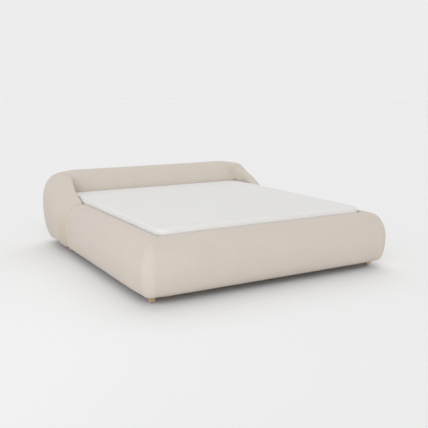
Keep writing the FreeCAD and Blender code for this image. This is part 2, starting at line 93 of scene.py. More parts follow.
RAIL_ROLL, WING_ROLL, HEAD_ROLL = 0.026, 0.012, 0.160
RAIL_BULGE, HEAD_BULGE = 0.250, 0.384
WING_EDGE_START, WING_EDGE_RISE = 0.026, 0.050
rail_section = Section(roll=RAIL_ROLL, reach=rail_outer - RAIL_ROLL, tuck=0.050,
                       crest=rail_crest, bulge=RAIL_BULGE, roll_height=RAIL_ROLL)
wing_start = Section(roll=WING_ROLL, reach=wing_outer - WING_ROLL, tuck=0.072,
                     crest=rail_crest, bulge=RAIL_BULGE, roll_height=WING_EDGE_START)
head_section = Section(roll=HEAD_ROLL, reach=head_outer - HEAD_ROLL, tuck=0.094,
                       crest=head_crest, bulge=HEAD_BULGE, roll_height=0.197)
print("rail", rail_section)
print("headboard", head_section)

# %% Let one section grow into another
CLIMB_RUN = 0.700
CLIMB_POINTS = [(0.0, 0.0), (0.16, 0.12), (0.47, 0.575), (0.79, 0.92), (1.0, 1.0)]


def climb(share):
    """Share of the rise from rail to headboard, at a share of the run from the seam: a smooth
    curve through CLIMB_POINTS that never overshoots them."""
    if share <= 0 or share >= 1:
        return float(share > 0)
    runs, rises = zip(*CLIMB_POINTS)
    slopes = [(rises[i + 1] - rises[i]) / (runs[i + 1] - runs[i]) for i in range(len(runs) - 1)]
    inner_tangents = [2 / (1 / a + 1 / b) for a, b in zip(slopes, slopes[1:])]
    tangents = [slopes[0] * 0.6] + inner_tangents + [0.0]
    i = max(k for k in range(len(runs) - 1) if runs[k] <= share)
    width = runs[i + 1] - runs[i]
    t = (share - runs[i]) / width
    return (rises[i] * (1 + 2 * t) * (1 - t) ** 2 + tangents[i] * width * t * (1 - t) ** 2
            + rises[i + 1] * t * t * (3 - 2 * t) + tangents[i + 1] * width * t * t * (t - 1))


def between(first, second, share):
    return Section(*(a + (b - a) * share for a, b in zip(first, second)))


def swept_section(path, turn):
    """The wing's or headboard's section: path is the length from the seam, turn is 0 on the
    wing and 1 on the headboard."""
    rise = climb(path / CLIMB_RUN)
    wide = between(wing_start, head_section, turn)
    tall = between(wing_start, head_section, rise)
    wing_edge = WING_EDGE_START + WING_EDGE_RISE * rise
    return tall._replace(roll=wide.roll, reach=wide.reach,
                         roll_height=wing_edge + (tall.roll_height - wing_edge) * turn)


print("halfway up the wing", swept_section(CLIMB_RUN / 2, 0))


# %% [markdown]
# ## One section as points
# The cloth goes up the board's face, over the roll, down the bulge and under it, where it is
# stapled. Each bend is a quarter of an ellipse between two straight tangents, which needs only
# its start, the corner and its end, and the counts say how many points a stretch gets. They
# are the same for every section, so that neighbouring sections join point to point.

# %% Draw one section as points
def quarter(start, corner, end, count, squareness=2.0):
    """Points of a quarter ellipse, without its last one; squareness above 2 fills the corner."""
    centre = np.array(start) + np.array(end) - np.array(corner)
    t = np.linspace(0, math.pi / 2, count + 1)[:-1, None]
    first, second = np.cos(t) ** (2 / squareness), np.sin(t) ** (2 / squareness)
    return centre + (np.array(start) - centre) * first + (np.array(end) - centre) * second


def straight(start, end, count):
    t = np.linspace(0, 1, count + 1)[:-1, None]
    return np.array(start) + (np.array(end) - np.array(start)) * t


STAPLED_EDGE = 0.013
LEAST_ROLL = 0.004
FACE_POINTS, ROLL_POINTS, BULGE_POINTS, UNDER_POINTS = 9, 12, 22, 16


def outline(section, inner=0.0, squareness=2.0, edge_squareness=2.0):
    """Closed outline as (out, height) points: up the board's face, over the roll, down the
    bulge, under it to where the cloth is stapled, and back behind the board."""
    outer = section.roll + section.reach
    tucked = outer - section.tuck
    edge = tucked - STAPLED_EDGE
    face_top = (inner, section.crest - section.roll_height)
    crest = (max(section.roll, inner + LEAST_ROLL), section.crest)
    bulge = (outer, section.bulge)
    return np.vstack([
        straight((inner, board_top), face_top, FACE_POINTS),
        quarter(face_top, (inner, section.crest), crest, ROLL_POINTS, edge_squareness),
        quarter(crest, (outer, section.crest), bulge, BULGE_POINTS, squareness),
        quarter(bulge, (outer, base_z), (tucked, base_z), UNDER_POINTS),
        straight((tucked, base_z), (edge, base_z), 1),
        straight((edge, base_z), (edge, bottom_board_top), 1),
        straight((edge, bottom_board_top), (board_back, bottom_board_top), 3),
        straight((board_back, bottom_board_top), (board_back, board_top), 6),
        straight((board_back, board_top), (inner, board_top), 1),
    ])


print("one section has", len(outline(rail_section)), "points")

# %% [markdown]
# ## A skin over rings
# Every cover is one section carried along a path. A bevelled curve does that too, but gives
# all of its points the same turn. Placing each ring here and joining them into a grid costs a
# few lines more, and gives tidy quads, a true measure along and across the cloth for the
# weave, and a value for every point that says how deep it lies in a seam or fold, which sets
# how much painted shade its colour gets there.

# %% Make a mesh object
def lengths(points):
    steps = np.linalg.norm(np.diff(points, axis=0), axis=1)
    return np.concatenate([[0], np.cumsum(steps)])


def mesh_piece(name, points, faces, uvs, finish):
    """A smooth-shaded mesh object; uvs holds one (u, v) pair in metres for each face corner."""
    mesh = bpy.data.meshes.new(name)
    mesh.from_pydata([tuple(p) for p in points], [], faces)
    layer = mesh.uv_layers.new(name="cloth")
    layer.data.foreach_set("uv", np.array(uvs, float).ravel())
    mesh.polygons.foreach_set("use_smooth", [True] * len(mesh.polygons))
    mesh.materials.append(finish)
    mesh.update()
    piece = bpy.data.objects.new(name, mesh)
    bpy.context.scene.collection.objects.link(piece)
    print(name, len(mesh.vertices), "points", len(mesh.polygons), "faces")
    return piece


# %% Build a skin over rings
END_MIDDLE = 0.6    # the size of the inner ring of an end's filling, against the end itself


def skin(name, rings, painted_shade, finish):
    """Closed cover over an array of rings, stations by points by 3, with its ends filled.
    The last argument is a value for each point, 1 at the bottom of a seam or fold, which paints
    shade into the cloth's colour there."""
    stations, around = rings.shape[:2]
    along = lengths(rings[:, around // 2])
    across = np.array([lengths(np.vstack([ring, ring[:1]])) for ring in rings])
    points = rings.reshape(-1, 3)
    faces, uvs = [], []
    for s in range(stations - 1):
        for k in range(around):
            n = (k + 1) % around
            here, ahead = s * around, (s + 1) * around
            faces.append((here + k, here + n, ahead + n, ahead + k))
            uvs += [(along[s], across[s, k]), (along[s], across[s, k + 1]),
                    (along[s + 1], across[s + 1, k + 1]), (along[s + 1], across[s + 1, k])]
    extra = []
    for s, flip in ((0, False), (stations - 1, True)):
        middle = rings[s].mean(axis=0)
        first = len(points) + len(extra)
        extra += list(middle + (rings[s] - middle) * END_MIDDLE) + [middle]
        for k in range(around):
            n = (k + 1) % around
            quad = (s * around + n, s * around + k, first + k, first + n)
            tri = (first + n, first + k, first + around)
            for face in (quad, tri):
                faces.append(face[::-1] if flip else face)
                uvs += [(along[s], across[s, k])] * len(face)
    piece = mesh_piece(name, np.vstack([points, extra]), faces, uvs, finish)
    # Each point's value of painted shade is stored on the mesh; the end fillings get none.
    depth = np.concatenate([np.ravel(painted_shade), np.zeros(len(extra))])
    piece.data.attributes.new("painted_shade", "FLOAT", "POINT").data.foreach_set("value", depth)
    return piece


# %% [markdown]
# ## Finishes: shader maths written as sums
# A finish is a node tree. Writing `weave * 0.5 + 0.5` is easier to read than wiring two Math
# nodes, so a small class stands for a socket and turns each operator into its node.

# %% A socket that can be reckoned with
class Wire:
    """One output socket of a node tree, with arithmetic on it."""

    def __init__(self, tree, socket):
        self.tree, self.socket = tree, socket

    def maths(self, operation, *terms):
        return self.tree.node("ShaderNodeMath", {"operation": operation}, dict(enumerate(terms)))

    def __add__(self, other):
        return self.maths("ADD", self, other)

    def __sub__(self, other):
        return self.maths("SUBTRACT", self, other)

    def __rsub__(self, other):
        return self.maths("SUBTRACT", other, self)

    def __mul__(self, other):
        return self.maths("MULTIPLY", self, other)

    __radd__ = __add__
    __rmul__ = __mul__

    def sin(self):
        return self.maths("SINE", self)

    def absolute(self):
        return self.maths("ABSOLUTE", self)

    def smooth(self, low, high, first=0.0, last=1.0):
        """first below low, last above high, eased between."""
        return self.tree.node("ShaderNodeMapRange", {"interpolation_type": "SMOOTHSTEP"},
                              {"Value": self, "From Min": low, "From Max": high,
                               "To Min": first, "To Max": last})


# %% A tree to add nodes to
class Tree:
    """The node tree of a material or of the world."""

    def __init__(self, node_tree):
        self.nodes, self.links = node_tree.nodes, node_tree.links

    def node(self, kind, settings=None, inputs=None, output=0):
        """Any node: its settings are set first, then the values or wires of its sockets."""
        node = self.nodes.new(kind)
        for key, value in (settings or {}).items():
            setattr(node, key, value)
        for key, value in (inputs or {}).items():
            self.plug(node.inputs[key], value)
        return Wire(self, node.outputs[output])

    def plug(self, socket, value):
        if isinstance(value, Wire):
            self.links.new(value.socket, socket)
        else:
            socket.default_value = value

    def split(self, where):
        vector = self.node("ShaderNodeSeparateXYZ", {}, {"Vector": where})
        outputs = vector.socket.node.outputs
        return [Wire(self, outputs[axis]) for axis in "XYZ"]


# %% A finish
class Finish(Tree):
    """A material built around one Principled shader."""

    def __init__(self, name, **constants):
        self.material = bpy.data.materials.new(name)
        self.material.use_nodes = True
        super().__init__(self.material.node_tree)
        self.shader = next(n for n in self.nodes if n.type == "BSDF_PRINCIPLED")
        for socket, value in constants.items():
            self.shader.inputs[socket.replace("_", " ")].default_value = value

    def feed(self, socket, value):
        self.plug(self.shader.inputs[socket], value)

    def place(self, output="Object"):
        """Coordinates in metres: Object for solid stuff such as wood, UV along a cloth."""
        return self.node("ShaderNodeTexCoord", output=output)

    def stretched(self, where, scale):
        return self.node("ShaderNodeMapping", {"vector_type": "POINT"},
                         {"Vector": where, "Scale": scale})

    def noise(self, where, scale, detail=2.0, roughness=0.5):
        return self.node("ShaderNodeTexNoise", {"noise_dimensions": "3D"},
                         {"Vector": where, "Scale": scale, "Detail": detail,
                          "Roughness": roughness})

    def mix(self, share, first, second):
        """Blend of two colours."""
        return self.node("ShaderNodeMix", {"data_type": "RGBA"},
                         {0: share, 6: first, 7: second}, output=2)

    def tinted(self, share, colour, tint):
        """A colour multiplied by a tint, as far as share says."""
        return self.node("ShaderNodeMix", {"data_type": "RGBA", "blend_type": "MULTIPLY"},
                         {0: share, 6: colour, 7: tint}, output=2)

    def emboss(self, height, distance, strength=1.0):
        bump = self.node("ShaderNodeBump", {},
                         {"Strength": strength, "Distance": distance, "Height": height})
        self.feed("Normal", bump)


def rgb(r, g, b):
    return (r, g, b, 1.0)


# %% [markdown]
# ### Upholstery cloth
# A smooth flat-woven cloth, warm beige. Up close it is a plain weave: threads pass over and
# under each other about every millimetre and a half. From a step away only a soft unevenness
# of the yarn's colour is left, so both scales go in. An image texture would show its repeats on
# a bed this long; noise has none. In seams and folds the colour is darkened and warmed by
# painted shade, which stands in for light bounced from cloth to cloth, as far as each point's
# value says.

# %% Upholstery cloth
def woven(finish, pitch):
    """Height of a plain weave with the given thread pitch, from 0 to 1."""
    along, across, _ = finish.split(finish.place("UV"))
    turn = math.pi / pitch
    return (along * turn).sin() * (across * turn).sin() * 0.5 + 0.5


cloth = Finish("upholstery_cloth", Roughness=0.92, Sheen_Weight=0.08, Sheen_Roughness=0.6,
               Specular_IOR_Level=0.2)
THREAD_PITCH = 0.0016
SLUBS = (420.0, 1500.0, 1.0)    # thicker stretches of yarn to the metre, along and across
weave = woven(cloth, THREAD_PITCH)
yarn = cloth.noise(cloth.stretched(cloth.place("UV"), SLUBS), 1.0, 3.0, 0.6)
mottle = cloth.noise(cloth.place("Object"), 5.0, 4.0, 0.55)
shade = yarn * 0.5 + mottle * 0.3 + weave * 0.2
beige = cloth.mix(shade.smooth(0.2, 0.8), rgb(0.570, 0.512, 0.455), rgb(0.627, 0.567, 0.506))
# Painted shade: each point's value from its cover darkens and warms the beige in seams and folds.
painted_shade = cloth.node("ShaderNodeAttribute", {"attribute_name": "painted_shade"}, output="Fac")
cloth.feed("Base Color", cloth.tinted(painted_shade, beige, rgb(0.93, 0.88, 0.81)))
cloth.feed("Roughness", 0.88 + yarn * 0.1)
cloth.emboss(weave * 0.6 + yarn * 0.4, 0.0004, 0.35)
print(cloth.material.name, "has", len(cloth.nodes), "nodes")

# %% [markdown]
# ### Bedding covers
# The mattress and topper wear knitted white covers. A knit has rounder, softer stitches than
# a weave. Modelling them would take millions of faces, so their height is one sine bent by
# another and only embosses the cover, and its whites drift in soft clouds.

# %% Bedding covers
def knitted(name, tint, grey, pitch):
    finish = Finish(name, Roughness=0.9, Sheen_Weight=0.05, Specular_IOR_Level=0.2)
    where = finish.place("Object")
    x, y, z = finish.split(where)
    turn = 2 * math.pi / pitch
    stitch = ((x + z) * turn).sin() * ((y + z) * turn + (x * turn).sin() * 0.8).sin() * 0.5 + 0.5
    cloud = finish.noise(where, 9.0, 3.0, 0.5)
    share = (stitch * 0.4 + cloud * 0.6).smooth(0.25, 0.75)
    finish.feed("Base Color", finish.mix(share, grey, tint))
    finish.feed("Roughness", 0.86 + stitch * 0.08)
    finish.emboss(stitch, 0.0003, 0.3)
    return finish


topper_cover = knitted("topper_knit", rgb(0.755, 0.748, 0.735), rgb(0.735, 0.728, 0.714), 0.0026)
mattress_cover = knitted("mattress_knit", rgb(0.735, 0.725, 0.705), rgb(0.70, 0.69, 0.67), 0.0032)
print("covers:", topper_cover.material.name, "and", mattress_cover.material.name)

# %% [markdown]
# ### Timber
# Wood needs a direction. The object's coordinates are squeezed along the grain before they
# reach the noise, so the pattern stretches into fibres; a sine over a slower noise makes the
# growth rings that a saw cuts through.

# %% Timber
AXES = {"x": (1, 0, 0), "y": (0, 1, 0), "z": (0, 0, 1)}
ALONG_THE_GRAIN = 0.06


def timber(name, pale, dark, along, rings=26.0, roughness=0.62):
    finish = Finish(name, Roughness=roughness, Specular_IOR_Level=0.35)
    squeeze = tuple(ALONG_THE_GRAIN if on else 1.0 for on in AXES[along])
    grain = finish.stretched(finish.place(), squeeze)
    fibre = finish.noise(grain, 420.0, 4.0, 0.6)
    figure = finish.noise(grain, 7.0, 2.0, 0.4)
    ring = (figure * rings * 2.0).sin() * 0.5 + 0.5
    share = (fibre * 0.55 + ring * 0.45).smooth(0.2, 0.85)
    finish.feed("Base Color", finish.mix(share, dark, pale))
    finish.feed("Roughness", roughness - 0.08 + fibre * 0.16)
    finish.emboss(fibre * 0.7 + ring * 0.3, 0.0003, 0.4)
    return finish


TWO_VENEERS = 0.003
DUST_CLOTH = rgb(0.012, 0.012, 0.013)


def plywood(name, through):
    """Birch plywood: pale faces, and veneers of two shades on the edges. Boards that lie flat
    are under the bed, where a black dust cloth is stapled to them."""
    grain = "x" if through != "x" else "z"
    finish = timber(name, rgb(0.66, 0.52, 0.36), rgb(0.56, 0.42, 0.27), grain, 9.0)
    face_colour = Wire(finish, finish.shader.inputs["Base Color"].links[0].from_socket)
    axis = "xyz".index(through)
    depth = finish.split(finish.place())[axis]
    facing = finish.split(finish.node("ShaderNodeNewGeometry", output="Normal"))[axis].absolute()
    layer = (depth * (2 * math.pi / TWO_VENEERS)).sin().smooth(-0.2, 0.2)
    edge = finish.mix(layer, rgb(0.30, 0.19, 0.10), rgb(0.60, 0.46, 0.31))
    board = finish.mix(facing.smooth(0.4, 0.6), edge, face_colour)
    if through == "z":
        downward = 0 - finish.split(finish.node("ShaderNodeNewGeometry", output="Normal"))[2]
        board = finish.mix(downward.smooth(0.5, 0.8), board, DUST_CLOTH)
    finish.feed("Base Color", board)
    return finish


oak = timber("oiled_oak", rgb(0.60, 0.46, 0.31), rgb(0.47, 0.33, 0.20), "z", 14.0, 0.5)
pine_along = timber("pine_lengthways", rgb(0.74, 0.57, 0.37), rgb(0.62, 0.43, 0.25), "y")
pine_across = timber("pine_crossways", rgb(0.74, 0.57, 0.37), rgb(0.62, 0.43, 0.25), "x")
beech = timber("lacquered_beech", rgb(0.70, 0.52, 0.35), rgb(0.60, 0.42, 0.27), "x", 12.0, 0.4)
ply = {axis: plywood("plywood_" + axis, axis) for axis in AXES}
print(len(bpy.data.materials), "materials so far")

# %% [markdown]
# ### Metal and plastic
# Powder coat has a fine orange-peel skin; zinc plating is bright but patchy; moulded nylon
# is dull with a faint grain. They differ in scale and gloss only, so one recipe makes all
# four: a fine noise for the skin, and a coarse one that varies colour and gloss in patches.

# %% Metal and plastic
def grained(name, pale, dark, scale, depth, roughness, metallic=0.0):
    finish = Finish(name, Metallic=metallic, Roughness=roughness)
    grain = finish.noise(finish.place(), scale, 3.0, 0.55)
    patch = finish.noise(finish.place(), scale / 18, 2.0, 0.5)
    share = (grain * 0.5 + patch * 0.5).smooth(0.3, 0.7)
    finish.feed("Base Color", finish.mix(share, dark, pale))
    finish.feed("Roughness", roughness - 0.06 + patch * 0.14)
    finish.emboss(grain, depth, 0.4)
    return finish


powder_coat = grained("black_powder_coat", rgb(0.045, 0.045, 0.047), rgb(0.030, 0.030, 0.032),
                      900, 0.0002, 0.45)
zinc = grained("zinc_plate", rgb(0.62, 0.63, 0.64), rgb(0.50, 0.50, 0.50), 500, 0.0001, 0.32, 1.0)
nylon = grained("moulded_nylon", rgb(0.055, 0.055, 0.057), rgb(0.040, 0.040, 0.042),
                1200, 0.0001, 0.55)
glide = grained("glide_plastic", rgb(0.13, 0.12, 0.11), rgb(0.10, 0.095, 0.09), 1500, 0.0002, 0.7)

# %% [markdown]
# ### Which part is made of what
# Each solid of the frame keeps its mesh and only gets a finish in its material slots. Its
# name says what it is, so most are found by the start of their name, and a short list holds
# the rest. Boards need the plywood whose layers lie the way the board does.

# %% Give the solid parts their finishes
FINISHES = {
    "leg_glides": glide, "centre_leg_glides": glide, "leg_bolts": zinc, "fitting_bolts": zinc,
    "ledge_screws": zinc, "centre_beam": powder_coat, "centre_beam_hangers": powder_coat,
    "centre_legs": powder_coat, "corner_brackets": powder_coat, "seam_plates": powder_coat,
    "foot_rail_board": pine_across, "headboard_rail_board": pine_across,
    "headboard_top_batten": pine_across, "headboard_formers": ply["x"],
    "foot_rail_formers": ply["x"],
}
STARTS = [("leg_", oak), ("slats", beech), ("side_slat", nylon), ("centre_slat", nylon),
          ("side_rail_formers", ply["y"]), ("wing_formers", ply["y"]), ("side_rail", pine_along),
          ("wing", pine_along)]


def finish_for(node):
    if node in FINISHES:
        return FINISHES[node]
    if "bottom_board" in node:
        return ply["z"]
    return next((finish for start, finish in STARTS if node.startswith(start)), cloth)


for node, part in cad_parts.items():
    for place in part.material_slots:
        place.material = finish_for(node).material
print(len(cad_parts), "solid parts finished")

# %% [markdown]
# ## Stuffing under the cloth
# A cover that is only drawn looks carved. So each one is drawn a little lean and then blown up
# by a cloth simulation that holds it at its seams and wherever it is nailed or stitched down.
# Tight upholstery hardly stretches, so the cloth is stiff and the pressure low, and how far a
# point may move is capped, so that the cover stays on its own foam. The cover is an even grid
# already, so it isn't remeshed and its seams stay.

# %% Blow up a cover
CLOTH_FRAMES = 20
COVER_CAP, BLOCK_CAP = 0.004, 0.0015
CLOTH_SETTINGS = {
    "quality": 7, "mass": 0.3, "air_damping": 4.0, "tension_stiffness": 400.0,
    "compression_stiffness": 400.0, "shear_stiffness": 150.0, "bending_stiffness": 5.0,
    "use_pressure": True, "vertex_group_mass": "held",
}


def mesh_points(mesh):
    points = np.empty(len(mesh.vertices) * 3)
    mesh.vertices.foreach_get("co", points)
    return points.reshape(-1, 3)


def blow_up(piece, held, cap, pressure=1.0):
    """Move a piece's free points to where pressure in the cloth takes them, at most cap away."""
    scene = bpy.context.scene
    blown = piece.copy()
    blown.data = piece.data.copy()
    scene.collection.objects.link(blown)
    blown.vertex_groups.new(name="held").add([int(i) for i in np.flatnonzero(held)], 1.0, "REPLACE")
    cloth_modifier = blown.modifiers.new("stuffing", "CLOTH")
    for key, value in CLOTH_SETTINGS.items():
        setattr(cloth_modifier.settings, key, value)
    cloth_modifier.settings.uniform_pressure_force = pressure
    cloth_modifier.settings.effector_weights.gravity = 0.0
    cloth_modifier.collision_settings.use_collision = False
    cloth_modifier.point_cache.frame_end = CLOTH_FRAMES
    for number in range(1, CLOTH_FRAMES + 1):
        scene.frame_set(number)
    settled = blown.evaluated_get(bpy.context.evaluated_depsgraph_get()).to_mesh()
    start = mesh_points(piece.data)
    moved = mesh_points(settled) - start
    size = np.linalg.norm(moved, axis=1)
    moved *= (np.tanh(size / cap) * cap / np.maximum(size, 1e-9))[:, None]
    piece.data.vertices.foreach_set("co", (start + moved).ravel())
    piece.data.update()
    bpy.data.objects.remove(blown)
    scene.frame_set(1)
    print(piece.name, "blown up by up to", round(float(size.max()), 4), "m, capped at", cap)


# %% Say which points are held
# Free from the top of the board's face, over the roll and the bulge, to the bulge's foot.
FREE = slice(FACE_POINTS, FACE_POINTS + ROLL_POINTS + BULGE_POINTS + UNDER_POINTS - 1)


def held_on_skin(piece, rings):
    """A skin is held at its two ends and, on each ring, where it is nailed to the wood."""
    stations, around = rings.shape[:2]
    held = np.ones(len(piece.data.vertices), bool)
    index = np.arange(stations * around).reshape(stations, around)
    held[index[1:-1, FREE]] = False
    return held


def held_on_block(piece, top, bands, stitched):
    """A block's cover is free in bands, given as depths below its top, and held in between.
    stitched tells which of the points on its top face are sewn down."""
    points = mesh_points(piece.data)
    depth = top.z - points[:, 2]
    held = ~np.any([(low < depth) & (depth < high) for low, high in bands], axis=0)
    return held | ((depth < bands[0][1]) & stitched(*points[:, :2].T))


print("a skin is free between its points", FREE.start, "and", FREE.stop, "of each ring")

# %% [markdown]
# ## Turning a corner
# At the corners of the bed the outside of the padding turns on a generous radius while the
# inside stays almost square round the mattress. A section swept along one path would fold
# over itself on the inside. So each point of the section turns on a radius of its own, which
# shrinks smoothly to almost nothing instead of stopping at zero.

# %% Turn a corner
def eased(value, low, high):
    t = np.clip((value - low) / (high - low), 0, 1)
    return t * t * (3 - 2 * t)


def corner_radius(out, pivot, ease):
    """Radius for a point that far out: out minus pivot outside, never quite zero inside."""
    d = out - pivot
    return 0.5 * (d + np.sqrt(d * d + 4 * ease * ease))


def rounding(distance, length, depth):
    """How far a rounded end is drawn in, at a distance from its seam."""
    if distance >= length:
        return 0.0
    return depth * (1 - math.sqrt(1 - (1 - distance / length) ** 2))


def drawn_in(section, crest_depth, side_depth):
    return section._replace(reach=section.reach - side_depth, crest=section.crest - crest_depth,
                            roll_height=max(section.roll_height - crest_depth, 0.008))


def eased_distances(length, count):
    """Distances from a seam to the end of its rounding, closer together at the seam."""
    return [length * (1 - math.cos(k / count * math.pi / 2)) for k in range(count + 1)]


def both_halves(rings):
    """Rings from the right seam to the middle, continued as their mirror image on the left."""
    left = [ring * (-1, 1, 1) for ring in rings[-2::-1]]
    return np.array(rings + left)


# %% [markdown]
# ## The rail cover
# One strip of cloth runs round the foot end from seam to seam, over three boards and their
# foam. It could be three pieces that meet at the corners, but the real one has no seam there.
# Its ends are rounded in, because sewing draws the cloth down into the seam, and the strip is
# pulled in a little towards the foot corners, where it is stretched tightest.

# %% Size the rail cover
# An end is rounded over a length from its seam, and by a depth at the seam.
RAIL_END_TOP, RAIL_END_SIDE = (0.070, 0.016), (0.014, 0.010)
RAIL_EDGE = 16.0    # squareness of the roll beside the mattress, which is nearly a corner
SIDE_RINGS, CORNER_RINGS, FOOT_RINGS = 80, 18, 46
CORNER_RADIUS, CORNER_EASE = 0.095, 0.006    # ease: the least radius, on the inside
CORNER_PULL, PULL_LENGTH, FOOT_TUCK = 0.012, 0.24, 0.018
# Painted shade along the rail cover's ends at the seams: its strength and its width.
RAIL_SEAM_SHADE, RAIL_SEAM_WIDTH = 0.9, 0.012
SEAM_GAP = 0.0006
corner_pivot = rail_outer - CORNER_PULL - CORNER_RADIUS
print("outside, the corners turn about a point", round(corner_pivot, 3), "m out from the boards")


def rail_section_at(distance, tucked=0.0):
    """The rail's section; the cloth pulls it in a little towards the foot corners. tucked is
    the share of the foot rail's deeper tuck, from 0 on the side rails to 1 on the foot rail."""
    pull = float(1 - eased(distance, 0.0, PULL_LENGTH))
    return rail_section._replace(reach=rail_section.reach - CORNER_PULL * pull,
                                 tuck=rail_section.tuck + FOOT_TUCK * tucked)


# %% Place the rings of the rail cover
def rail_right(share, section=None, inner=0.0, start=0.0):
    """Ring on the right side rail, from the seam (share 0) to the foot corner (share 1)."""
    length = seam_y - foot_y
    out, height = outline(section or rail_section_at(length * (1 - share)), inner, 2.0, RAIL_EDGE).T
    r = corner_radius(out, corner_pivot, CORNER_EASE)
    first = seam_y - SEAM_GAP - start
    last = foot_y - (out - r)
    return np.column_stack([face_x + out, first + (last - first) * share, height])


def rail_corner(angle, distance=0.0):
    """Ring at the right foot corner, angle from the side rail towards the foot rail."""
    out, height = outline(rail_section_at(distance, math.sin(angle) ** 2), 0.0, 2.0, RAIL_EDGE).T
    r = corner_radius(out, corner_pivot, CORNER_EASE)
    return np.column_stack([face_x + out - r + r * math.cos(angle),
                            foot_y - (out - r) - r * math.sin(angle), height])


def rail_foot(share):
    """Ring on the foot rail, from the right corner (share 0) to the middle (share 1)."""
    ring = rail_corner(math.pi / 2, face_x * share)
    ring[:, 0] *= 1 - share
    return ring


# %% Build the rail cover
END_SETBACK = 0.3    # an end's face is set back by this share of how far its crest drops
right_half = []
for distance in eased_distances(RAIL_END_TOP[0], 9):
    crest_depth, side_depth = rounding(distance, *RAIL_END_TOP), rounding(distance, *RAIL_END_SIDE)
    section = drawn_in(rail_section, crest_depth, side_depth)
    right_half.append(rail_right(0.0, section, crest_depth * END_SETBACK, distance))
for share in np.linspace(0, 1, SIDE_RINGS)[1:]:
    right_half.append(rail_right(share, None, 0.0, RAIL_END_TOP[0]))
right_half += [rail_corner(angle) for angle in np.linspace(0, math.pi / 2, CORNER_RINGS)[1:]]
right_half += [rail_foot(share) for share in np.linspace(0, 1, FOOT_RINGS)[1:]]


rail_rings = both_halves(right_half)[::-1]
# Painted shade: the cloth is darkened in a narrow band at each seam with the wings.
to_seam = seam_y - rail_rings[:, :, 1]
rail_painted_shade = RAIL_SEAM_SHADE * np.exp(-(to_seam / RAIL_SEAM_WIDTH) ** 2)
rail_cover = skin("rail_cover", rail_rings, rail_painted_shade, cloth.material)
blow_up(rail_cover, held_on_skin(rail_cover, rail_rings), COVER_CAP)

# %% [markdown]
# ## The headboard cover
# The wings begin at the seams as high as the rails and climb along a soft curve while they
# turn into the headboard, where the section opens from a narrow edge to a deep roll. On the
# real bed this is one padded wrap, so it is one skin here: three pieces would need seams that
# don't exist. Its stuffing leans in over the topper, and where the roll turns into the wing
# there is too much cloth, which gathers into two small folds.

# %% Size the headboard cover
WING_END_TOP, WING_END_SIDE = (0.110, 0.036), (0.150, 0.064)
WING_EASE = 0.020
# Painted shade: along the seams, in the wings' roll-in and in the inside-corner folds.
SEAM_SHADE, FOLD_SHADE = 0.9, 0.2
SEAM_WIDTH, ROLL_IN_WIDTH, ROLL_IN_TOP = 0.024, 0.13, 0.22
CORNER_SQUARENESS = 0.45
SWEEP_RADIUS = 0.091
WING_LEAN, CREST_LEAN, LEAN_FROM, LEAN_FULL = 0.036, 0.35, 0.26, 0.46
ABOVE_BEDDING = (topper_high.z - 0.018, topper_high.z + 0.003)
EDGE_SQUARENESS = 0.4
# Each fold has a distance from the inside corner, a depth and a width. It fades out below the
# roll and towards the crest, and so does the shade painted into the cloth's colour there.
FOLDS = [(0.050, 0.0030, 0.008), (0.078, 0.0014, 0.009)]
FOLD_FADE_BELOW, FOLD_FADE_ABOVE, SHADE_FADE, SHADE_MARGIN = 0.05, (0.07, 0.01), (0.12, 0.03), 0.02
corner_start = head_y - seam_y
corner_length = SWEEP_RADIUS * math.pi / 2
print("the wing is", round(corner_start, 3), "long, the turn", round(corner_length, 3))

# %% Place the rings of wing and headboard
def lean(section, path, out, height):
    """How far the wing's stuffing leans in over the topper: most on the inside of the roll,
    less at the crest, nothing at the bulge."""
    amount = WING_LEAN * eased(path, LEAN_FROM, LEAN_FULL) * eased(height, *ABOVE_BEDDING)
    outer = section.roll + section.reach
    inside = 1 - (1 - CREST_LEAN) * np.clip(out / section.roll, 0, 1)
    return amount * inside * (1 - eased(out, section.roll, outer))


def wing_ring(path, section, inner=0.0):
    """Ring on the right wing at a length from the seam."""
    out, height = outline(section, inner, 2.0, 2.0 + EDGE_SQUARENESS).T
    r = corner_radius(out, 0.0, WING_EASE)
    first = seam_y + SEAM_GAP
    last = head_y + (out - r)
    return np.column_stack([face_x + out - lean(section, path, out, height),
                            first + (last - first) * path / corner_start, height])


def head_corner_ring(angle, section, path):
    """Ring at the right head corner, angle from the wing towards the headboard."""
    edge = 2.0 + EDGE_SQUARENESS * math.cos(angle) ** 2
    out, height = outline(section, 0.0, 2.0 + CORNER_SQUARENESS * math.sin(2 * angle), edge).T
    r = corner_radius(out, 0.0, WING_EASE)
    leaning = out - lean(section, path, out, height)
    return np.column_stack([face_x + leaning - r + r * math.cos(angle),
                            head_y + (out - r) + r * math.sin(angle), height])


def fold_depth(distance, section, out, height):
    """How deep the cloth is gathered into small folds where the roll meets the wing."""
    depth = sum(d * math.exp(-((distance - at) / width) ** 2) for at, d, width in FOLDS)
    low, high = section.crest - section.roll_height, section.crest
    above = eased(height, high - FOLD_FADE_ABOVE[0], high - FOLD_FADE_ABOVE[1])
    fade = eased(height, low - FOLD_FADE_BELOW, low) * (1 - above)
    return depth * fade * (out < section.roll)


def head_ring(path, share):
    """Ring on the headboard, from the right corner (share 0) to the middle (share 1)."""
    section = swept_section(path, 1)
    ring = head_corner_ring(math.pi / 2, section, path)
    ring[:, 0] *= 1 - share
    out, height = outline(section).T
    ring[:, 1] += fold_depth(share * face_x, section, out, height)
    return ring


